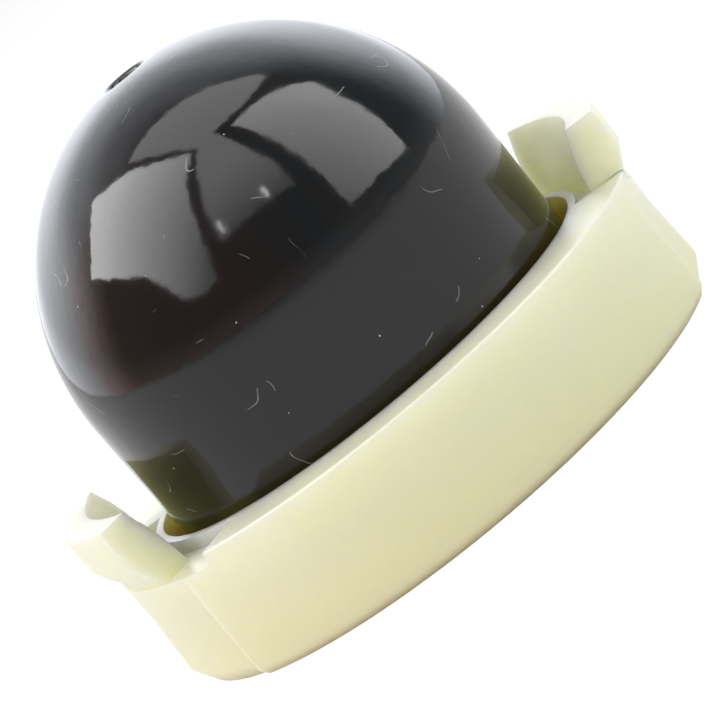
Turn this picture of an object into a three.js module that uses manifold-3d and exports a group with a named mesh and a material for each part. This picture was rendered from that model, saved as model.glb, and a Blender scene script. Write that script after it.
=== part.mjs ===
// A primer bulb for a small engine: a hollow rubber dome in a nylon snap-in retainer ring.
// Millimetres. Z is the axis of the dome and the ring stands on z = 0, with its two tabs on +X and -X.

import * as THREE from "three";
import { mergeVertices } from "three/addons/utils/BufferGeometryUtils.js";
import Module from "manifold-3d";

const wasm = await Module();
wasm.setup();

// Driving sizes of the ring
const RING_RADIUS = 14.0; // outer wall just above the foot chamfer
const RING_DRAFT = 0.05; // how much narrower the wall is at the rim
const RING_HEIGHT = 5.9;
const FOOT_CHAMFER = 0.3; // across the foot's outer edge
const FOOT_CHAMFER_HEIGHT = 0.4;
const RIM_CHAMFER = 0.14;
const WALL = 1.55; // thickness of the outer wall round the flange
const WEB = 1.8; // thickness of the web over the flange
const BORE_GAP = 0.65; // between the dome's foot and the web

// Driving sizes of the tabs
const TAB_HALF_ANGLE = 22.5; // degrees
const TAB_HEIGHT = 8.65; // of the tip above the foot
const TAB_THICKNESS = 1.78; // at the root
const TAB_INNER_LEAN = 0.93; // how far the inner face leans out by the tip
const TAB_OUTER_LEAN = 0.32; // how far the outer face has leaned out under the barb
const TAB_WAIST_HEIGHT = 3.4; // where the lean starts
const TAB_WAIST_DEPTH = 0.2; // of the waist below the ring's wall
const BARB = 0.34; // how far the tip stands proud of the leaning face
const BARB_LOW = 6.15; // where the barb's ramp starts
const BARB_HIGH = 6.75; // where it ends

// Driving sizes of the panel that each tab rises from, and of its relief pocket
const PANEL_HALF_ANGLE = 30; // degrees
const PANEL_CHAMFER = 0.55; // across the panel's foot
const PANEL_CHAMFER_HEIGHT = 0.85;
const PANEL_STEP = 0.05; // of the panel below the ring's wall above its chamfer
const POCKET_DEPTH = 0.6; // below the rim
const POCKET_LIP = 0.38; // width of the lip left round the bore
const NOTCH_ANGLE = 16; // degrees, from the tab's one edge

// Driving sizes of the bulb
const DOME_RADIUS = 10.5;
const DOME_RISE = 10.8; // of the crown above the straight wall
const DOME_SPRING = 11.1; // height where the crown starts
const DOME_FOOT_RADIUS = 10.4; // outside of the wall at the ring
const DOME_WALL = 1.5;
const VENT_RADIUS = 0.85;
const VENT_ROUND = 0.18; // rounding of the vent's outer edge
const FLANGE_CLEARANCE = 0.2; // to the ring's wall and to its web
const FLANGE_RECESS = 0.5; // of the flange's face above the ring's foot
const FLANGE_ROUND = 0.5; // of the flange's outer corners
const GROOVE_DEPTH = 0.32; // of the seal groove between bead and lip
const BEAD_WIDTH = 0.9;
const LIP_WIDTH = 1.3; // of the rounded lip round the mouth
const LIP_RISE = 1.0; // height over which the lip curls into the mouth
const MOUTH_RADIUS = 8.55;

// Smoothness
const RING_SIDES = 120;
const BULB_SIDES = 72;
const CROWN_STEPS = 10;
const ROUND_STEPS = 4;

// Worked out from the sizes above
const rimRadius = RING_RADIUS - RING_DRAFT;
const seatRadius = RING_RADIUS - WALL;
const webUnderside = RING_HEIGHT - WEB;
const boreRadius = DOME_FOOT_RADIUS + BORE_GAP;
const pocketFloor = RING_HEIGHT - POCKET_DEPTH;
const pocketInner = boreRadius + POCKET_LIP;
const waistRadius = RING_RADIUS - TAB_WAIST_DEPTH;
const tabRootOuter = waistRadius + TAB_OUTER_LEAN / 2;
const tabRootInner = tabRootOuter - TAB_THICKNESS;
const flangeRadius = seatRadius - FLANGE_CLEARANCE;
const flangeTop = webUnderside - FLANGE_CLEARANCE;

const degrees = THREE.MathUtils.degToRad;

const rubber = new THREE.MeshStandardMaterial({ color: 0x16171a, roughness: 0.28, metalness: 0 });
const nylon = new THREE.MeshStandardMaterial({ color: 0xe4e4bd, roughness: 0.42, metalness: 0 });

// A closed three.js geometry as a manifold solid, and back.
function toSolid(geometry) {
  const bare = geometry.clone();
  bare.deleteAttribute("normal");
  bare.deleteAttribute("uv");
  const merged = mergeVertices(bare, 1e-4);
  return new wasm.Manifold(
    new wasm.Mesh({
      numProp: 3,
      vertProperties: new Float32Array(merged.attributes.position.array),
      triVerts: new Uint32Array(merged.index.array),
    }),
  );
}

function toGeometry(solid) {
  const mesh = solid.getMesh();
  const geometry = new THREE.BufferGeometry();
  geometry.setAttribute("position", new THREE.BufferAttribute(mesh.vertProperties, 3));
  geometry.setIndex(new THREE.BufferAttribute(mesh.triVerts, 1));
  geometry.computeVertexNormals();
  return geometry;
}

// Turns a closed outline of [radius, height] points about Z. The outline runs anticlockwise.
function revolve(outline, sides) {
  const points = outline.map(([radius, height]) => new THREE.Vector2(radius, height));
  points.push(points[0].clone());
  return toSolid(new THREE.LatheGeometry(points, sides).rotateX(Math.PI / 2));
}

// A tall wedge about Z between two angles, in degrees from +X, to cut a sector out of a round solid.
function wedge(from, to) {
  const reach = RING_RADIUS * 2;
  const shape = new THREE.Shape();
  shape.moveTo(0, 0);
  const steps = Math.ceil((to - from) / 15);
  for (let i = 0; i <= steps; i++) {
    const angle = degrees(from + ((to - from) * i) / steps);
    shape.lineTo(reach * Math.cos(angle), reach * Math.sin(angle));
  }
  const depth = TAB_HEIGHT + 2;
  return toSolid(
    new THREE.ExtrudeGeometry(shape, { depth, bevelEnabled: false }).translate(0, 0, -1),
  );
}

// Points on a quarter round from one angle to another, in degrees.
function arc(centreRadius, centreHeight, radius, from, to) {
  const points = [];
  for (let i = 0; i <= ROUND_STEPS; i++) {
    const angle = degrees(from + ((to - from) * i) / ROUND_STEPS);
    points.push([
      centreRadius + radius * Math.cos(angle),
      centreHeight + radius * Math.sin(angle),
    ]);
  }
  return points;
}

// The plain ring: outer wall, web with the bore, and the seat for the flange underneath.
function ringBlank() {
  return revolve(
    [
      [seatRadius, 0],
      [RING_RADIUS - FOOT_CHAMFER, 0],
      [RING_RADIUS, FOOT_CHAMFER_HEIGHT],
      [rimRadius, RING_HEIGHT - RIM_CHAMFER],
      [rimRadius - RIM_CHAMFER, RING_HEIGHT],
      [boreRadius, RING_HEIGHT],
      [boreRadius, webUnderside],
      [seatRadius, webUnderside],
    ],
    RING_SIDES,
  );
}

// What is pared off the outer wall, all round, to leave the slightly waisted panel under a tab.
function panelParing() {
  const beyond = RING_RADIUS + 1;
  const waist = (waistRadius + rimRadius) / 2;
  return revolve(
    [
      [RING_RADIUS - PANEL_CHAMFER, -1],
      [beyond, -1],
      [beyond, RING_HEIGHT + 1],
      [waist, RING_HEIGHT + 1],
      [waist, RING_HEIGHT],
      [waistRadius, TAB_WAIST_HEIGHT],
      [RING_RADIUS - PANEL_STEP, PANEL_CHAMFER_HEIGHT],
      [RING_RADIUS - PANEL_CHAMFER, 0],
    ],
    RING_SIDES,
  );
}

// The section of a tab: waist, leaning shank, barb, and an inner face that leans out to the tip.
function tabSection() {
  const underBarb = waistRadius + TAB_OUTER_LEAN;
  const tipInner = tabRootInner + TAB_INNER_LEAN;
  const hidden = seatRadius + WALL / 4;
  return revolve(
    [
      [hidden, TAB_WAIST_HEIGHT],
      [waistRadius, TAB_WAIST_HEIGHT],
      [tabRootOuter, (TAB_WAIST_HEIGHT + BARB_LOW) / 2],
      [underBarb, BARB_LOW],
      [underBarb + BARB, BARB_HIGH],
      [underBarb + BARB * 1.15, TAB_HEIGHT - 0.2],
      [underBarb + BARB, TAB_HEIGHT],
      [tipInner, TAB_HEIGHT],
      [tabRootInner + TAB_INNER_LEAN * 0.6, TAB_HEIGHT - (TAB_HEIGHT - pocketFloor) * 0.26],
      [tabRootInner + TAB_INNER_LEAN * 0.15, TAB_HEIGHT - (TAB_HEIGHT - pocketFloor) * 0.77],
      [tabRootInner, pocketFloor],
      [tabRootInner, webUnderside + WEB / 4],
    ],
    RING_SIDES,
  );
}

// The annular space of a relief pocket, outside the lip round the bore.
function pocketSection() {
  return revolve(
    [
      [pocketInner, pocketFloor],
      [RING_RADIUS + 1, pocketFloor],
      [RING_RADIUS + 1, RING_HEIGHT + 1],
      [pocketInner, RING_HEIGHT + 1],
    ],
    RING_SIDES,
  );
}

function retainerRing() {
  let ring = ringBlank();
  const paring = panelParing();
  const pocket = pocketSection();
  const section = tabSection();
  for (const middle of [0, 180]) {
    const panel = wedge(middle - PANEL_HALF_ANGLE, middle + PANEL_HALF_ANGLE);
    const relief = wedge(middle - TAB_HALF_ANGLE, middle + TAB_HALF_ANGLE + NOTCH_ANGLE);
    const tab = wedge(middle - TAB_HALF_ANGLE, middle + TAB_HALF_ANGLE);
    ring = ring
      .subtract(paring.intersect(panel))
      .subtract(pocket.intersect(relief))
      .add(section.intersect(tab));
  }
  const mesh = new THREE.Mesh(toGeometry(ring), nylon);
  mesh.name = "retainer_ring";
  return mesh;
}

// Points on a quarter ellipse of the crown, from its spring to the vent.
function crown(radius, rise, limitRadius) {
  const points = [];
  const last = Math.acos(limitRadius / radius);
  for (let i = 0; i <= CROWN_STEPS; i++) {
    const angle = (last * i) / CROWN_STEPS;
    points.push([radius * Math.cos(angle), DOME_SPRING + rise * Math.sin(angle)]);
  }
  return points;
}

function rubberBulb() {
  const outside = crown(DOME_RADIUS, DOME_RISE, VENT_RADIUS + VENT_ROUND);
  const inside = crown(DOME_RADIUS - DOME_WALL, DOME_RISE - DOME_WALL, VENT_RADIUS).reverse();
  const face = FLANGE_RECESS;
  const beadInner = flangeRadius - BEAD_WIDTH;
  const lipOuter = MOUTH_RADIUS + LIP_WIDTH;
  const groove = face + GROOVE_DEPTH;
  const outline = [
    ...arc(flangeRadius - FLANGE_ROUND, face + FLANGE_ROUND, FLANGE_ROUND, -90, 0),
    ...arc(flangeRadius - FLANGE_ROUND, flangeTop - FLANGE_ROUND, FLANGE_ROUND, 0, 90),
    [DOME_FOOT_RADIUS, flangeTop],
    ...outside,
    [VENT_RADIUS, outside[CROWN_STEPS][1] - VENT_ROUND],
    ...inside,
    [MOUTH_RADIUS, face + LIP_RISE],
    ...arc(lipOuter - LIP_WIDTH / 2, face + LIP_WIDTH / 2, LIP_WIDTH / 2, 180, 270),
    [lipOuter, groove],
    [beadInner, groove],
  ];
  const mesh = new THREE.Mesh(toGeometry(revolve(outline, BULB_SIDES)), rubber);
  mesh.name = "rubber_bulb";
  return mesh;
}

const primerBulb = new THREE.Group();
primerBulb.add(retainerRing());
primerBulb.add(rubberBulb());

export default primerBulb;
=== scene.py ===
# %% [markdown]
# # A primer bulb in its snap-in ring
# The object is a spare for a small engine: a hollow dome of black rubber that a fingertip presses, held by
# a ring of natural nylon with two snap tabs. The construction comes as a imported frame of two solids. This
# lesson dresses both of them with fine turned meshes and with two materials, in metres, in that same frame.

# %% Load the frame
import math

import bpy
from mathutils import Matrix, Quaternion, Vector


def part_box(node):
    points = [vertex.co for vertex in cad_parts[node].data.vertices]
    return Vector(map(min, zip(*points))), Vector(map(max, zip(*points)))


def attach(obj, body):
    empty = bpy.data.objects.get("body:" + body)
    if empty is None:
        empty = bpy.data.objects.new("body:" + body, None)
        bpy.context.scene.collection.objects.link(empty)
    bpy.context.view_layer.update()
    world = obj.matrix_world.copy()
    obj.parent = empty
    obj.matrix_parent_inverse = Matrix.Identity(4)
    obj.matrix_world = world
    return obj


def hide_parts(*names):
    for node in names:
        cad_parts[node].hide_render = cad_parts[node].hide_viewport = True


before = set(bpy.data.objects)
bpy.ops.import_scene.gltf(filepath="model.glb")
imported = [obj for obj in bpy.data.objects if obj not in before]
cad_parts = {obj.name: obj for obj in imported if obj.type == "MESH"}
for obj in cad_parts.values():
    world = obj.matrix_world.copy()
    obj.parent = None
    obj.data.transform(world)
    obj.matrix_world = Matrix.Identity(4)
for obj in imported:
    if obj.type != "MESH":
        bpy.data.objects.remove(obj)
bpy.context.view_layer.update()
MM = 0.001

# %% [markdown]
# ## The camera
# The picture was taken close to the horizontal and then turned, so that the dome points up to the left. The
# camera stands where the two tabs, the bore and the foot of the ring all fall in their places: a long lens
# from 150 mm away, a little to the left of the front, rolled by almost forty degrees.

# %% Camera
CAMERA_DISTANCE = 150 * MM
CAMERA_AZIMUTH = math.radians(-7)
CAMERA_ELEVATION = math.radians(9.675)
CAMERA_ROLL = math.radians(39.74)
AIM_HEIGHT = 6.126 * MM
SENSOR_WIDTH = 36
LENS = 176.3

back = Vector((
    math.sin(CAMERA_AZIMUTH) * math.cos(CAMERA_ELEVATION),
    -math.cos(CAMERA_AZIMUTH) * math.cos(CAMERA_ELEVATION),
    math.sin(CAMERA_ELEVATION),
))
camera_data = bpy.data.cameras.new("camera")
camera_data.sensor_width = SENSOR_WIDTH
camera_data.lens = LENS
camera_data.clip_start = 10 * MM
camera_data.clip_end = 20
camera = bpy.data.objects.new("camera", camera_data)
camera.location = Vector((0, 0, AIM_HEIGHT)) + back * CAMERA_DISTANCE
camera.rotation_mode = "QUATERNION"
camera.rotation_quaternion = (-back).to_track_quat("-Z", "Y") @ Quaternion((0, 0, 1), -CAMERA_ROLL)
bpy.context.scene.collection.objects.link(camera)
bpy.context.scene.camera = camera
print("camera at", [round(x / MM, 1) for x in camera.location])

# %% [markdown]
# ## Drawing and turning a section
# Both pieces came out of turned moulds, so both are turned here too. A section is drawn as by hand: a plane
# is merged to one point, and the point is extruded from corner to corner. Spinning the closed outline
# about Z makes the solid; it turns clockwise about its axis, so the axis points down for an anticlockwise
# turn seen from above. Doubles are merged before the normals are recalculated, because a spin can leave the
# shape inside out.

# %% Helpers for turned shapes
TOUCH = 0.0004 * MM


def in_object_mode():
    if bpy.context.object and bpy.context.object.mode != "OBJECT":
        bpy.ops.object.mode_set(mode="OBJECT")
    bpy.ops.object.select_all(action="DESELECT")


def draw_outline(name, corners, touch=TOUCH):
    """One point, extruded from corner to corner and back to the first."""
    in_object_mode()
    bpy.ops.mesh.primitive_plane_add(size=MM)
    piece = bpy.context.object
    piece.name = piece.data.name = name
    bpy.ops.object.mode_set(mode="EDIT")
    bpy.ops.mesh.select_mode(type="VERT")
    bpy.ops.mesh.select_all(action="SELECT")
    bpy.ops.mesh.merge(type="CENTER")
    bpy.ops.transform.translate(value=corners[0])
    for here, there in zip(corners, corners[1:] + corners[:1]):
        bpy.ops.mesh.extrude_region_move(TRANSFORM_OT_translate={"value": there - here})
    bpy.ops.mesh.select_all(action="SELECT")
    bpy.ops.mesh.remove_doubles(threshold=touch)
    return piece


def draw_section(name, points, azimuth=0.0):
    """A closed outline of (radius, height) points in the plane through Z at that azimuth, in degrees."""
    turn = math.radians(azimuth)
    return draw_outline(name, [Vector((r * math.cos(turn), r * math.sin(turn), z)) for r, z in points])


def turn_section(steps, sweep=360.0):
    """Spins the drawn section about Z and closes what a part turn leaves open."""
    bpy.ops.mesh.select_all(action="SELECT")
    bpy.ops.mesh.spin(steps=steps, angle=math.radians(sweep), center=(0, 0, 0), axis=(0, 0, -1))
    bpy.ops.mesh.select_all(action="SELECT")
    bpy.ops.mesh.remove_doubles(threshold=TOUCH)
    if sweep < 360:
        bpy.ops.mesh.fill_holes(sides=0)
    bpy.ops.mesh.normals_make_consistent(inside=False)
    in_object_mode()


def arc(centre, radius, start, end, steps):
    """Points on a circle of the section, between two angles in degrees."""
    angles = [math.radians(start + (end - start) * i / steps) for i in range(steps + 1)]
    return [(centre[0] + radius * math.cos(a), centre[1] + radius * math.sin(a)) for a in angles]


def say(piece):
    corners = [piece.matrix_world @ Vector(c) for c in piece.bound_box]
    low = [round(min(c[i] for c in corners) / MM, 2) for i in range(3)]
    high = [round(max(c[i] for c in corners) / MM, 2) for i in range(3)]
    faces = sum(len(p.vertices) - 2 for p in piece.data.polygons)
    print(piece.name, "triangles", faces, "from", low, "to", high)


# %% [markdown]
# ## The rubber bulb
# The real bulb is one moulding: a crown, a nearly straight wall, a hollow inside, and a thick flange whose
# face seals on the carburettor. It could be a sphere with its lower half pulled down, but the crown is a
# little taller than round and the flange has a bead, a groove and a curled lip, so it is turned from one
# section. The crown is a quarter ellipse outside and another inside, which leaves an even wall.

# %% Sizes of the bulb
bulb_low, bulb_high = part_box("rubber_bulb")
FLANGE_FACE = bulb_low.z
FLANGE_RADIUS = bulb_high.y
CROWN_SPRING = 11.1 * MM
CROWN_RADIUS = 10.5 * MM
WALL_FOOT_RADIUS = 10.4 * MM
BULB_WALL = 1.5 * MM
VENT_RADIUS = 0.85 * MM
VENT_ROUND = 0.3 * MM
FLANGE_TOP = 3.9 * MM
FLANGE_ROUND = 0.5 * MM
FOOT_FILLET = 0.35 * MM
GROOVE_DEPTH = 0.32 * MM
BEAD_WIDTH = 0.9 * MM
LIP_WIDTH = 1.3 * MM
MOUTH_RADIUS = 8.55 * MM
CROWN_RISE = 10.8 * MM
BULB_STEPS = 192


def crown(radius, rise, stop_radius, steps):
    """A quarter ellipse from the top of the straight wall up to a radius near the axis."""
    last = math.acos(stop_radius / radius)
    angles = [last * i / steps for i in range(steps + 1)]
    return [(radius * math.cos(a), CROWN_SPRING + rise * math.sin(a)) for a in angles]


# %% Draw and turn the bulb
outside = crown(CROWN_RADIUS, CROWN_RISE, VENT_RADIUS + VENT_ROUND, 40)
inside = crown(CROWN_RADIUS - BULB_WALL, CROWN_RISE - BULB_WALL, VENT_RADIUS, 26)[::-1]
vent_edge = arc((VENT_RADIUS + VENT_ROUND, outside[-1][1] - VENT_ROUND), VENT_ROUND, 90, 180, 6)
lip_centre = (MOUTH_RADIUS + LIP_WIDTH / 2, FLANGE_FACE + LIP_WIDTH / 2)
bead_inner = FLANGE_RADIUS - BEAD_WIDTH
bulb_section = [
    (bead_inner + 0.12 * MM, FLANGE_FACE + 0.08 * MM),
    *arc((FLANGE_RADIUS - FLANGE_ROUND, FLANGE_FACE + FLANGE_ROUND), FLANGE_ROUND, -90, 0, 8),
    *arc((FLANGE_RADIUS - FLANGE_ROUND, FLANGE_TOP - FLANGE_ROUND), FLANGE_ROUND, 0, 90, 8),
    *arc((WALL_FOOT_RADIUS + FOOT_FILLET, FLANGE_TOP + FOOT_FILLET), FOOT_FILLET, 270, 180, 6),
    *outside[:-1],
    *vent_edge,
    *inside,
    *arc(lip_centre, LIP_WIDTH / 2, 180, 270, 10),
    (MOUTH_RADIUS + LIP_WIDTH * 0.8, FLANGE_FACE + 0.1 * MM),
    (MOUTH_RADIUS + LIP_WIDTH, FLANGE_FACE + GROOVE_DEPTH * 0.8),
    (MOUTH_RADIUS + LIP_WIDTH + 0.3 * MM, FLANGE_FACE + GROOVE_DEPTH),
    (bead_inner - 0.15 * MM, FLANGE_FACE + GROOVE_DEPTH),
]
bulb = draw_section("bulb_moulding", bulb_section)
turn_section(BULB_STEPS)
say(bulb)

# %% [markdown]
# ### The vent's lip
# The vent looks trimmed by hand: its lip dips a little to the front and has a small nick there. Both are made
# by picking the lip's points in edit mode and turning or lowering only those. The whole lip is lowered a
# little as well, so that its raised side stays inside the frame's box.

# %% Tilt and nick the lip
LIP_TILT = math.radians(3.5)
LIP_DROP = 0.07 * MM
NICK_DEPTH = 0.05 * MM
NICK_HALF_WIDTH = 0.07 * MM
LIP_CENTRE_HEIGHT = 21.6 * MM
LIP_FROM = 19 * MM
NICK_FROM = 21.4 * MM


def pick_points(piece, wanted):
    """Goes into edit mode with just the wanted points selected."""
    in_object_mode()
    bpy.context.view_layer.objects.active = piece
    bpy.ops.object.mode_set(mode="EDIT")
    bpy.ops.mesh.select_mode(type="VERT")
    bpy.ops.mesh.select_all(action="DESELECT")
    bpy.ops.object.mode_set(mode="OBJECT")
    for point in piece.data.vertices:
        point.select = wanted(point.co)
    bpy.ops.object.mode_set(mode="EDIT")


def at_lip(co):
    return co.z > LIP_FROM and math.hypot(co.x, co.y) < VENT_RADIUS + VENT_ROUND + 0.02 * MM


def at_nick(co):
    return at_lip(co) and abs(co.x) < NICK_HALF_WIDTH and co.y < 0 and co.z > NICK_FROM


pick_points(bulb, at_lip)
bpy.ops.transform.rotate(value=-LIP_TILT, orient_axis="X", center_override=(0, 0, LIP_CENTRE_HEIGHT))
bpy.ops.transform.translate(value=(0, 0, -LIP_DROP))
pick_points(bulb, at_nick)
bpy.ops.transform.translate(value=(0, 0, -NICK_DEPTH))
in_object_mode()
lip = [p.co for p in bulb.data.vertices if at_lip(p.co + Vector((0, 0, 2 * NICK_DEPTH)))]
front, rear = min(lip, key=lambda c: c.y), max(lip, key=lambda c: c.y)
print("lip in front", round(front.z / MM, 3), "and behind", round(rear.z / MM, 3))
say(bulb)

# %% [markdown]
# ## The nylon ring
# The ring is one moulding too, and its plain body is a turned shape: a wall with a small chamfer at the
# foot and a rounded rim, a web over the bulb's flange, and the seat below it. What isn't round is cut or
# joined afterwards, with tools that are turned through part of a circle, because each of those forms follows
# the ring's own curve. Boolean modifiers do the cutting and joining.

# %% Sizes of the ring
ring_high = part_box("retainer_ring")[1]
RING_RADIUS = ring_high.y
TIP_HEIGHT = ring_high.z
TIP_RADIUS = ring_high.x
RING_HEIGHT = 5.9 * MM
RIM_RADIUS = 13.95 * MM
RIM_ROUND = 0.14 * MM
FOOT_CHAMFER = 0.3 * MM
FOOT_CHAMFER_HEIGHT = 0.4 * MM
SEAT_RADIUS = 12.45 * MM
WEB_UNDERSIDE = 4.1 * MM
BORE_RADIUS = 11.05 * MM
RING_STEPS = 360


def join_shape(piece, other, operation):
    """Cuts another shape out of the piece, or joins it on, and removes the other shape."""
    in_object_mode()
    bpy.context.view_layer.objects.active = piece
    bpy.ops.object.modifier_add(type="BOOLEAN")
    modifier = piece.modifiers[-1]
    modifier.operation = operation
    modifier.solver = "EXACT"
    modifier.object = other
    bpy.ops.object.modifier_apply(modifier=modifier.name)
    bpy.data.objects.remove(other)


# %% Turn the plain ring
ring_section = [
    (SEAT_RADIUS, 0),
    (RING_RADIUS - FOOT_CHAMFER, 0),
    (RING_RADIUS, FOOT_CHAMFER_HEIGHT),
    *arc((RIM_RADIUS - RIM_ROUND, RING_HEIGHT - RIM_ROUND), RIM_ROUND, 0, 90, 5),
    (BORE_RADIUS, RING_HEIGHT),
    (BORE_RADIUS, WEB_UNDERSIDE),
    (SEAT_RADIUS, WEB_UNDERSIDE),
]
ring = draw_section("ring_moulding", ring_section, azimuth=180 / RING_STEPS)
turn_section(RING_STEPS)
say(ring)

# %% [markdown]
# ### Panels, relief pockets and tabs
# Each tab rises from a panel that is pared a little way into the wall. A relief pocket behind the tab, open
# through the wall at one side, lets it flex. The tab itself leans outwards and carries a small barb near
# its tip. The two sides are alike after half a turn, so one loop makes both.

# %% Sizes of the tabs
TAB_HALF = 22.5
PANEL_HALF = 30.0
NOTCH = 16.0
POCKET_FLOOR = 5.3 * MM
POCKET_RADIUS = 11.43 * MM
WAIST_RADIUS = 13.8 * MM
WAIST_HEIGHT = 3.4 * MM
PANEL_CHAMFER = 0.55 * MM
PANEL_CHAMFER_HEIGHT = 0.85 * MM
PANEL_STEP = 0.05 * MM
BARB_LOW = 6.15 * MM
BARB_HIGH = 6.75 * MM
BARB_RADIUS = 14.46 * MM
SHANK_RADIUS = 14.15 * MM
ROOT_INNER = 12.18 * MM
TIP_INNER = 13.11 * MM
BEYOND = 3 * MM

paring_section = [
    (RING_RADIUS - PANEL_CHAMFER, -MM),
    (RING_RADIUS + BEYOND, -MM),
    (RING_RADIUS + BEYOND, RING_HEIGHT + MM),
    (13.97 * MM, RING_HEIGHT + MM),
    (13.97 * MM, RING_HEIGHT),
    (13.87 * MM, 5.3 * MM),
    (13.82 * MM, 4.7 * MM),
    (WAIST_RADIUS, WAIST_HEIGHT),
    (RING_RADIUS - PANEL_STEP, PANEL_CHAMFER_HEIGHT),
    (RING_RADIUS - PANEL_CHAMFER, 0),
]
pocket_section = [
    (POCKET_RADIUS, POCKET_FLOOR),
    (RING_RADIUS + BEYOND, POCKET_FLOOR),
    (RING_RADIUS + BEYOND, RING_HEIGHT + MM),
    (POCKET_RADIUS, RING_HEIGHT + MM),
]
tab_section = [
    (12.8 * MM, 4.5 * MM),
    (13.5 * MM, 4.5 * MM),
    (13.92 * MM, 5.8 * MM),
    (14.01 * MM, 5.95 * MM),
    (SHANK_RADIUS, BARB_LOW),
    (BARB_RADIUS, BARB_HIGH),
    (TIP_RADIUS, TIP_HEIGHT - 0.25 * MM),
    (TIP_RADIUS - 0.1 * MM, TIP_HEIGHT),
    (TIP_INNER, TIP_HEIGHT),
    (12.95 * MM, 8.25 * MM),
    (12.738 * MM, 7.779 * MM),
    (12.5 * MM, 7.0 * MM),
    (12.3195 * MM, 6.0705 * MM),
    (12.22 * MM, POCKET_FLOOR + 0.12 * MM),
    (ROOT_INNER, 5.1 * MM),
    (ROOT_INNER, 4.6 * MM),
]


# %% Cut the panels and pockets, and join the tabs
def sector(name, section, start, end):
    """A section turned from one azimuth to another, in degrees, one step for each degree."""
    shape = draw_section(name, section, azimuth=start)
    turn_section(max(2, round(end - start)), sweep=end - start)
    return shape


for middle in (0, 180):
    panel = sector("panel_cutter", paring_section, middle - PANEL_HALF, middle + PANEL_HALF)
    join_shape(ring, panel, "DIFFERENCE")
    pocket = sector("pocket_cutter", pocket_section, middle - TAB_HALF, middle + TAB_HALF + NOTCH)
    join_shape(ring, pocket, "DIFFERENCE")
    tab = sector("tab", tab_section, middle - TAB_HALF, middle + TAB_HALF)
    join_shape(ring, tab, "UNION")
say(ring)

# %% [markdown]
# ### Softened edges
# A moulding has no truly sharp edge. The edges that stand out, such as the bore, the pockets and the tabs,
# are picked by how strongly their two faces turn, and bevelled in one go. The shallow step at the side of
# each panel stays crisp.

# %% Bevel the ring's edges
EDGE_ROUND = 0.07 * MM
STRONG_TURN = math.radians(48)


def pick_edges(piece, least_turn):
    """Selects the edges whose two faces turn by more than that, away from the panel steps."""
    normals = {}
    for face in piece.data.polygons:
        for key in face.edge_keys:
            normals.setdefault(key, []).append(face.normal)
    chosen = 0
    for edge in piece.data.edges:
        pair = normals.get(edge.key, [])
        middle = sum((piece.data.vertices[i].co for i in edge.vertices), Vector()) / 2
        azimuth = math.degrees(math.atan2(middle.y, middle.x)) % 180
        at_step = min(abs(azimuth - PANEL_HALF), abs(azimuth - 180 + PANEL_HALF)) < 0.2
        strong = len(pair) == 2 and pair[0].angle(pair[1], 0) > least_turn
        edge.select = strong and not at_step
        chosen += edge.select
    return chosen


in_object_mode()
bpy.context.view_layer.objects.active = ring
bpy.ops.object.mode_set(mode="EDIT")
bpy.ops.mesh.select_all(action="SELECT")
bpy.ops.mesh.remove_doubles(threshold=5 * TOUCH)
bpy.ops.mesh.select_mode(type="EDGE")
bpy.ops.mesh.select_all(action="DESELECT")
bpy.ops.object.mode_set(mode="OBJECT")
print("edges to round", pick_edges(ring, STRONG_TURN))
bpy.ops.object.mode_set(mode="EDIT")
bpy.ops.mesh.bevel(offset=EDGE_ROUND, segments=3, affect="EDGES", clamp_overlap=True)
in_object_mode()
say(ring)

# %% [markdown]
# ## Smooth shading
# Faces that meet at a small angle shade as one surface, and larger angles stay edges. Weighted normals keep
# the broad faces flat beside their narrow bevels.

# %% Shade both pieces
SMOOTH_ANGLE = math.radians(38)
for piece in (bulb, ring):
    in_object_mode()
    piece.select_set(True)
    bpy.context.view_layer.objects.active = piece
    bpy.ops.object.shade_smooth_by_angle(angle=SMOOTH_ANGLE)
    bpy.ops.object.modifier_add(type="WEIGHTED_NORMAL")
    piece.modifiers[-1].keep_sharp = True
    bpy.ops.object.modifier_apply(modifier=piece.modifiers[-1].name)


# %% [markdown]
# ## Materials
# Every pattern reads Object coordinates, in metres, so a noise scale of 400 has features about 2.5 mm across.
# A small helper adds a node and sets its sockets, and each material is built by its own function.

# %% Helpers for materials
def new_material(name):
    material = bpy.data.materials.new(name)
    material.use_nodes = True
    nodes = material.node_tree.nodes
    nodes.clear()
    return material, nodes, material.node_tree.links


def add_node(nodes, kind, values=None, **settings):
    node = nodes.new("ShaderNode" + kind)
    for key, value in settings.items():
        setattr(node, key, value)
    for socket, value in (values or {}).items():
        node.inputs[socket].default_value = value
    return node


# %% [markdown]
# ### Black rubber
# The rubber is a glossy moulded black with dust on it. Its base is nearly black, with a faint brown cast that
# comes and goes. Roughness varies a little, so that the reflections of the windows have soft, living edges.
# The dust is two sizes of speck: cells of a Voronoi pattern, of which only a few are chosen to hold a dot.
# Hairlines follow one contour of a noise, where another noise lets them through. A slow, very shallow bump
# makes the mirrored edges waver as they do on a moulding.

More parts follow.
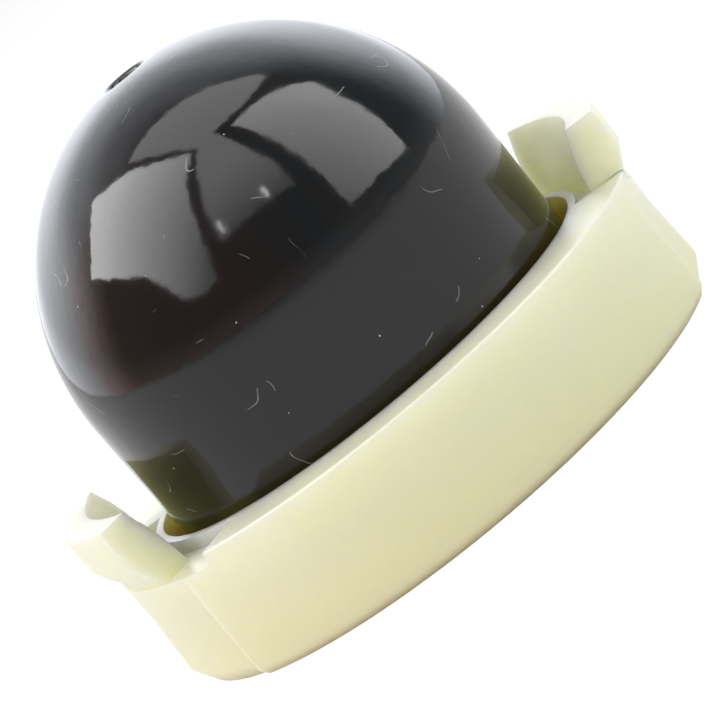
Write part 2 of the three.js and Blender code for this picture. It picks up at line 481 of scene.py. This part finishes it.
# %% Rubber material
def black_rubber():
    material, nodes, links = new_material("black_rubber")
    place = add_node(nodes, "TexCoord")
    shader = add_node(nodes, "BsdfPrincipled", {"IOR": 1.46})
    out = add_node(nodes, "OutputMaterial")

    tint = add_node(nodes, "TexNoise", {"Scale": 90, "Detail": 3})
    base = add_node(nodes, "ValToRGB")
    base.color_ramp.elements[0].position = 0.4
    base.color_ramp.elements[0].color = (0.003, 0.0034, 0.0036, 1)
    base.color_ramp.elements[1].position = 0.72
    base.color_ramp.elements[1].color = (0.008, 0.005, 0.0038, 1)
    links.new(place.outputs["Object"], tint.inputs["Vector"])
    links.new(tint.outputs["Fac"], base.inputs["Fac"])

    haze = add_node(nodes, "TexNoise", {"Scale": 260, "Detail": 5})
    gloss = add_node(nodes, "MapRange", {"From Min": 0.3, "From Max": 0.7, "To Min": 0.05, "To Max": 0.11})
    links.new(place.outputs["Object"], haze.inputs["Vector"])
    links.new(haze.outputs["Fac"], gloss.inputs["Value"])

    masks = []
    for scale, size, share in ((650, 0.045, 0.76), (1500, 0.055, 0.86)):
        cells = add_node(nodes, "TexVoronoi", {"Scale": scale})
        near = add_node(nodes, "Math", {1: size}, operation="LESS_THAN")
        split = add_node(nodes, "SeparateColor")
        lucky = add_node(nodes, "Math", {1: share}, operation="GREATER_THAN")
        both = add_node(nodes, "Math", operation="MULTIPLY")
        links.new(place.outputs["Object"], cells.inputs["Vector"])
        links.new(cells.outputs["Distance"], near.inputs[0])
        links.new(cells.outputs["Color"], split.inputs["Color"])
        links.new(split.outputs["Red"], lucky.inputs[0])
        links.new(near.outputs[0], both.inputs[0])
        links.new(lucky.outputs[0], both.inputs[1])
        masks.append(both)
    dots = add_node(nodes, "Math", operation="MAXIMUM")
    links.new(masks[0].outputs[0], dots.inputs[0])
    links.new(masks[1].outputs[0], dots.inputs[1])

    contour = add_node(nodes, "TexNoise", {"Scale": 330, "Detail": 1})
    hair = add_node(nodes, "Math", {1: 0.5, 2: 0.0028}, operation="COMPARE")
    patch = add_node(nodes, "TexNoise", {"Scale": 700, "Detail": 0})
    sparse = add_node(nodes, "MapRange", {"From Min": 0.66, "From Max": 0.7, "To Max": 0.35})
    hairs = add_node(nodes, "Math", operation="MULTIPLY")
    links.new(place.outputs["Object"], contour.inputs["Vector"])
    links.new(place.outputs["Object"], patch.inputs["Vector"])
    links.new(contour.outputs["Fac"], hair.inputs[0])
    links.new(patch.outputs["Fac"], sparse.inputs["Value"])
    links.new(hair.outputs[0], hairs.inputs[0])
    links.new(sparse.outputs[0], hairs.inputs[1])
    dust = add_node(nodes, "Math", operation="MAXIMUM")
    links.new(dots.outputs[0], dust.inputs[0])
    links.new(hairs.outputs[0], dust.inputs[1])

    dusted = add_node(nodes, "Mix", data_type="RGBA")
    dusted.inputs["B"].default_value = (0.5, 0.5, 0.5, 1)
    links.new(dust.outputs[0], dusted.inputs["Factor"])
    links.new(base.outputs["Color"], dusted.inputs["A"])
    links.new(dusted.outputs["Result"], shader.inputs["Base Color"])
    rough = add_node(nodes, "Mix", data_type="FLOAT")
    rough.inputs["B"].default_value = 0.8
    links.new(dust.outputs[0], rough.inputs["Factor"])
    links.new(gloss.outputs[0], rough.inputs["A"])
    links.new(rough.outputs["Result"], shader.inputs["Roughness"])

    wave = add_node(nodes, "TexNoise", {"Scale": 600, "Detail": 2})
    wavy = add_node(nodes, "Bump", {"Strength": 1.0, "Distance": 0.012 * MM})
    links.new(place.outputs["Object"], wave.inputs["Vector"])
    links.new(wave.outputs["Fac"], wavy.inputs["Height"])
    grain = add_node(nodes, "TexNoise", {"Scale": 2400, "Detail": 2})
    bump = add_node(nodes, "Bump", {"Strength": 1.0, "Distance": 0.0018 * MM})
    links.new(wavy.outputs["Normal"], bump.inputs["Normal"])
    links.new(place.outputs["Object"], grain.inputs["Vector"])
    links.new(grain.outputs["Fac"], bump.inputs["Height"])
    links.new(bump.outputs["Normal"], shader.inputs["Normal"])
    links.new(shader.outputs["BSDF"], out.inputs["Surface"])
    return material


# %% [markdown]
# ### Natural nylon
# Undyed nylon lets light into it: thin tabs look almost white and thick walls are yellower. Subsurface
# scattering with a longer reach for red than for blue does this. A slow noise varies the cream, and a fine
# grain breaks up the gloss. Painted shade makes the wall yellower and darker towards the foot and lays a
# darker orange line round the foot edge, and a painted highlight lays an orange line round the bore's edge.

# %% Nylon material
def natural_nylon():
    material, nodes, links = new_material("natural_nylon")
    place = add_node(nodes, "TexCoord")
    shader = add_node(nodes, "BsdfPrincipled", {
        "IOR": 1.53,
        "Subsurface Weight": 1.0,
        "Subsurface Radius": (1.0, 0.92, 0.5),
        "Subsurface Scale": 3.0 * MM,
    })
    out = add_node(nodes, "OutputMaterial")

    cloud = add_node(nodes, "TexNoise", {"Scale": 160, "Detail": 4})
    cream = add_node(nodes, "ValToRGB")
    cream.color_ramp.elements[0].position = 0.3
    cream.color_ramp.elements[0].color = (0.86, 0.88, 0.61, 1)
    cream.color_ramp.elements[1].position = 0.7
    cream.color_ramp.elements[1].color = (0.89, 0.915, 0.67, 1)
    links.new(place.outputs["Object"], cloud.inputs["Vector"])
    links.new(cloud.outputs["Fac"], cream.inputs["Fac"])

    split = add_node(nodes, "SeparateXYZ")
    flat = add_node(nodes, "CombineXYZ")
    from_axis = add_node(nodes, "VectorMath", operation="LENGTH")
    links.new(place.outputs["Object"], split.inputs["Vector"])
    links.new(split.outputs["X"], flat.inputs["X"])
    links.new(split.outputs["Y"], flat.inputs["Y"])
    links.new(flat.outputs[0], from_axis.inputs[0])
    tone = cream.outputs["Color"]
    # Each row paints light or shade into the colour: a share of its colour at one end of a measure, fading to
    # none at the other.
    for measure, near, far, share, colour in (
        # Painted shade: the wall turns yellower and darker from its top down to the foot.
        (split.outputs["Z"], 0.0, 5.6 * MM, 1.0, (0.88, 0.85, 0.48, 1)),
        # Painted shade: a darker orange line round the foot edge.
        (split.outputs["Z"], 0.0, 0.55 * MM, 0.6, (0.82, 0.6, 0.27, 1)),
        # Painted highlight: an orange line round the bore's edge, where the edge catches the light.
        (from_axis.outputs["Value"], 11.06 * MM, 11.3 * MM, 0.8, (0.85, 0.62, 0.2, 1)),
    ):
        painted_share = add_node(nodes, "MapRange", {
            "From Min": near, "From Max": far, "To Min": share, "To Max": 0.0,
        })
        painted_tint = add_node(nodes, "Mix", data_type="RGBA")
        painted_tint.inputs["B"].default_value = colour
        links.new(measure, painted_share.inputs["Value"])
        links.new(painted_share.outputs[0], painted_tint.inputs["Factor"])
        links.new(tone, painted_tint.inputs["A"])
        tone = painted_tint.outputs["Result"]
    links.new(tone, shader.inputs["Base Color"])

    haze = add_node(nodes, "TexNoise", {"Scale": 500, "Detail": 5})
    gloss = add_node(nodes, "MapRange", {"From Min": 0.3, "From Max": 0.7, "To Min": 0.3, "To Max": 0.45})
    grain = add_node(nodes, "TexNoise", {"Scale": 2600, "Detail": 3})
    bump = add_node(nodes, "Bump", {"Strength": 0.12, "Distance": 0.02 * MM})
    links.new(place.outputs["Object"], haze.inputs["Vector"])
    links.new(haze.outputs["Fac"], gloss.inputs["Value"])
    links.new(gloss.outputs[0], shader.inputs["Roughness"])
    links.new(place.outputs["Object"], grain.inputs["Vector"])
    links.new(grain.outputs["Fac"], bump.inputs["Height"])
    links.new(bump.outputs["Normal"], shader.inputs["Normal"])
    links.new(shader.outputs["BSDF"], out.inputs["Surface"])
    return material


# %% Give both pieces their materials and their bodies
for piece, material, node, slot in (
    (bulb, black_rubber(), "rubber_bulb", "rubber"),
    (ring, natural_nylon(), "retainer_ring", "nylon"),
):
    piece.data.materials.clear()
    piece.data.materials.append(material)
    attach(piece, "root")
    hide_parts(node)

# %% [markdown]
# ## Floor and room
# The picture has a plain white ground with hardly any shadow. The floor is a pale disc that shows the camera
# and the gloss a white of its own, and still takes the object's shadow. Behind and beside the object the
# room is a bright sweep, and towards the camera it is dark: that is what gives a glossy black dome its white
# rims and its black middle. The world holds that sweep as two ramps, one over height and one over depth.

# %% Floor
FLOOR_RADIUS = 3.0
GROUND_GLOW = 0.72
in_object_mode()
bpy.ops.mesh.primitive_circle_add(vertices=96, radius=FLOOR_RADIUS, fill_type="NGON")
floor = bpy.context.object
floor.name = "floor"


def any_seen(nodes, links):
    """1 for rays that show things: from the camera, from gloss and through clear matter."""
    paths = add_node(nodes, "LightPath")
    first = add_node(nodes, "Math", operation="MAXIMUM")
    second = add_node(nodes, "Math", operation="MAXIMUM")
    links.new(paths.outputs["Is Camera Ray"], first.inputs[0])
    links.new(paths.outputs["Is Glossy Ray"], first.inputs[1])
    links.new(first.outputs[0], second.inputs[0])
    links.new(paths.outputs["Is Transmission Ray"], second.inputs[1])
    return second.outputs[0]


def white_ground():
    material, nodes, links = new_material("white_ground")
    plain = add_node(nodes, "BsdfDiffuse", {"Color": (0.82, 0.82, 0.81, 1)})
    shadow = add_node(nodes, "BsdfDiffuse", {"Color": (0.42, 0.42, 0.44, 1)})
    glow = add_node(nodes, "Emission", {"Color": (1, 1, 1, 1)})
    shown = add_node(nodes, "AddShader")
    place = add_node(nodes, "TexCoord")
    split = add_node(nodes, "SeparateXYZ")
    loss = add_node(nodes, "MapRange", {
        "From Min": -300 * MM, "From Max": -60 * MM, "To Min": 0.7, "To Max": 0.0,
    })
    paths = add_node(nodes, "LightPath")
    mirrored = add_node(nodes, "Math", operation="MULTIPLY")
    strength = add_node(nodes, "Math", {1: -GROUND_GLOW, 2: GROUND_GLOW}, operation="MULTIPLY_ADD")
    links.new(place.outputs["Object"], split.inputs["Vector"])
    links.new(split.outputs["Y"], loss.inputs["Value"])
    links.new(loss.outputs[0], mirrored.inputs[0])
    links.new(paths.outputs["Is Glossy Ray"], mirrored.inputs[1])
    links.new(mirrored.outputs[0], strength.inputs[0])
    links.new(strength.outputs[0], glow.inputs["Strength"])
    mix = add_node(nodes, "MixShader")
    out = add_node(nodes, "OutputMaterial")
    links.new(shadow.outputs[0], shown.inputs[0])
    links.new(glow.outputs[0], shown.inputs[1])
    links.new(any_seen(nodes, links), mix.inputs["Fac"])
    links.new(plain.outputs[0], mix.inputs[1])
    links.new(shown.outputs[0], mix.inputs[2])
    links.new(mix.outputs[0], out.inputs["Surface"])
    return material


floor.data.materials.append(white_ground())

# %% Room
DARK_FRONT = 0.3
HORIZON = 0.28
SWEEP_FOR_GLOSS = 2.6
SWEEP_FOR_LIGHT = 0.9
world = bpy.data.worlds.new("room")
world.use_nodes = True
nodes, links = world.node_tree.nodes, world.node_tree.links
nodes.clear()
way = add_node(nodes, "TexCoord")
split = add_node(nodes, "SeparateXYZ")
level_way = add_node(nodes, "CombineXYZ")
reach = add_node(nodes, "VectorMath", operation="LENGTH")
behind = add_node(nodes, "Math", operation="DIVIDE")
depth = add_node(nodes, "MapRange", {"From Min": 0.12, "From Max": 0.78}, interpolation_type="SMOOTHSTEP")
height = add_node(nodes, "ValToRGB")
height.color_ramp.interpolation = "EASE"
stops = [(0.0, 0.55), (0.12, 0.62), (0.45, 0.95), (0.72, 0.56), (0.9, 0.27), (1.0, 0.06)]
ramp = height.color_ramp.elements
while len(ramp) < len(stops):
    ramp.new(0.5)
for stop, (place, grey) in zip(ramp, stops):
    stop.position = place
    stop.color = (grey, grey, grey, 1)
sweep = add_node(nodes, "Math", operation="MULTIPLY")
seen = any_seen(nodes, links)
level = add_node(nodes, "MapRange", {"To Min": SWEEP_FOR_LIGHT, "To Max": SWEEP_FOR_GLOSS})
lit = add_node(nodes, "Math", operation="MULTIPLY_ADD")
low = add_node(nodes, "MapRange", {"To Min": DARK_FRONT + HORIZON, "To Max": DARK_FRONT, "From Max": 0.16})
side = add_node(nodes, "ValToRGB")
side.color_ramp.elements[0].position = 0.3
side.color_ramp.elements[0].color = (1.3, 0.92, 0.8, 1)
side.color_ramp.elements[1].position = 0.62
side.color_ramp.elements[1].color = (0.92, 1.0, 1.06, 1)
cast = add_node(nodes, "MapRange", {"From Min": -1.0, "From Max": 1.0})
room_tone = add_node(nodes, "Mix", data_type="RGBA")
room_tone.inputs["B"].default_value = (0.96, 0.99, 1.05, 1)
sky = add_node(nodes, "Background")
world_out = add_node(nodes, "OutputWorld")
links.new(way.outputs["Generated"], split.inputs["Vector"])
links.new(split.outputs["X"], level_way.inputs["X"])
links.new(split.outputs["Y"], level_way.inputs["Y"])
links.new(level_way.outputs[0], reach.inputs[0])
links.new(split.outputs["Y"], behind.inputs[0])
links.new(reach.outputs["Value"], behind.inputs[1])
links.new(behind.outputs[0], depth.inputs["Value"])
links.new(split.outputs["Z"], height.inputs["Fac"])
links.new(depth.outputs[0], sweep.inputs[0])
links.new(height.outputs["Color"], sweep.inputs[1])
links.new(seen, level.inputs["Value"])
links.new(sweep.outputs[0], lit.inputs[0])
links.new(level.outputs[0], lit.inputs[1])
links.new(split.outputs["Z"], low.inputs["Value"])
links.new(low.outputs[0], lit.inputs[2])
links.new(split.outputs["X"], cast.inputs["Value"])
links.new(cast.outputs[0], side.inputs["Fac"])
links.new(depth.outputs[0], room_tone.inputs["Factor"])
links.new(side.outputs["Color"], room_tone.inputs["A"])
links.new(room_tone.outputs["Result"], sky.inputs["Color"])
links.new(lit.outputs[0], sky.inputs["Strength"])
links.new(sky.outputs[0], world_out.inputs["Surface"])
bpy.context.scene.world = world
bpy.context.scene.view_settings.view_transform = "Standard"

# %% [markdown]
# ## Lamps and cards
# Lamps light the object and cards are what its gloss mirrors, so each can be set by itself. The lamps are
# large and soft and the gloss doesn't see them. The cards have the outlines of the two windows and of the
# ceiling between them as the dome mirrors them, seen in a plane that faces the object, and only gloss sees
# the cards. Two small bright ones stand for the sparks between the windows.

# %% Lamps
LAMP_WATTS = 8.47


def towards(azimuth, elevation):
    a, e = math.radians(azimuth), math.radians(elevation)
    return Vector((math.sin(a) * math.cos(e), -math.cos(a) * math.cos(e), math.sin(e)))


def soft_lamp(name, azimuth, elevation, distance, width, depth, level):
    away = towards(azimuth, elevation)
    data = bpy.data.lights.new(name, "AREA")
    data.shape = "RECTANGLE"
    data.size, data.size_y = width, depth
    data.energy = LAMP_WATTS * width * depth * level
    lamp = bpy.data.objects.new(name, data)
    lamp.location = away * distance
    lamp.rotation_mode = "QUATERNION"
    lamp.rotation_quaternion = (-away).to_track_quat("-Z", "Y")
    lamp.visible_camera = False
    lamp.visible_glossy = False
    bpy.context.scene.collection.objects.link(lamp)


soft_lamp("left_lamp", -65, 45, 0.8, 0.9, 0.8, 0.7)
soft_lamp("right_lamp", 70, 35, 0.8, 0.8, 0.8, 0.56)


# %% Cards
CARD_DISTANCE = 0.8
CARD_TOUCH = 0.01 * MM


def card_material(name, strongest, weakest, fade_from, fade_to):
    """Light that weakens from one point of the card to another."""
    material, nodes, links = new_material(name)
    place = add_node(nodes, "TexCoord")
    along = add_node(nodes, "VectorMath", operation="DOT_PRODUCT")
    run = fade_to - fade_from
    along.inputs[1].default_value = run / run.length_squared
    start = fade_from.dot(run) / run.length_squared
    fade = add_node(nodes, "MapRange", {
        "From Min": start, "From Max": start + 1, "To Min": strongest, "To Max": weakest,
    })
    glow = add_node(nodes, "Emission")
    out = add_node(nodes, "OutputMaterial")
    links.new(place.outputs["Object"], along.inputs[0])
    links.new(along.outputs["Value"], fade.inputs["Value"])
    links.new(fade.outputs[0], glow.inputs["Strength"])
    links.new(glow.outputs[0], out.inputs["Surface"])
    return material


def card(name, azimuth, elevation, corners, levels, fade):
    """A lit card facing the object. Corners are (side, up) in shares of its distance."""
    away = towards(azimuth, elevation)
    side = Vector((0, 0, 1)).cross(away).normalized() if elevation < 89 else Vector((1, 0, 0))
    up = away.cross(side)
    outline = [(away + side * x + up * y) * CARD_DISTANCE for x, y in corners]
    piece = draw_outline(name, outline, touch=CARD_TOUCH)
    bpy.ops.mesh.edge_face_add()
    in_object_mode()
    print(name, "faces", len(piece.data.polygons))
    ends = [(away + side * x + up * y) * CARD_DISTANCE for x, y in fade]
    piece.data.materials.append(card_material(name, *levels, *ends))
    piece.visible_camera = False
    piece.visible_diffuse = False
    piece.visible_transmission = False
    piece.visible_shadow = False


card("left_window", -60, 55, [
    (-0.74, 0.36), (-0.45, 0.39), (-0.27, 0.42), (-0.04, 0.43), (0.20, 0.49),
    (0.24, 0.51), (0.25, 0.28), (0.28, 0.12), (0.37, -0.13), (0.44, -0.33),
    (0.51, -0.60), (0.34, -0.69), (0.12, -0.65), (-0.02, -0.47), (-0.17, -0.34),
    (-0.41, -0.27), (-0.85, -0.14), (-0.75, 0.04), (-0.74, 0.23),
], (8.6, 1.4), ((-0.484, 0.08), (0.491, -0.279)))
card("right_window", 65, 20, [
    (-0.15, 1.10), (0.05, 0.92), (0.26, 0.72), (0.37, 0.57), (0.45, 0.43),
    (0.35, 0.23), (0.34, 0.10), (0.28, -0.09), (0.24, -0.24), (-0.17, -0.20),
    (-0.56, -0.17), (-0.52, 0.01), (-0.44, 0.20), (-0.36, 0.42), (-0.28, 0.66),
    (-0.20, 0.88),
], (5.2, 2.2), ((0.348, 0.226), (-0.56, -0.133)))
card("ceiling", 0, 90, [
    (-0.28, 0.19), (-0.14, 0.22), (0.02, 0.22), (0.16, 0.22), (0.34, 0.23),
    (0.50, 0.20), (0.72, 0.22), (0.76, 0.16), (0.47, -0.13), (0.18, -0.24),
    (0.25, -0.38), (0.35, -0.59), (0.47, -0.83), (0.71, -1.47), (-0.59, -1.39),
    (-0.33, -0.80), (-0.19, -0.58), (-0.07, -0.40), (0.03, -0.27), (-0.15, -0.03),
], (2.9, 0.3), ((0.1, -0.55), (0.1, -1.8)))
card("left_spark", -10, 25, [
    (-0.14, 0.31), (-0.12, 0.31), (-0.12, 0.21), (-0.14, 0.21),
], (18, 12), ((0, 0), (0, -1)))
card("right_spark", 10, 25, [
    (0.03, 0.28), (0.05, 0.28), (0.03, 0.19), (0.01, 0.19),
], (18, 12), ((0, 0), (0, -1)))
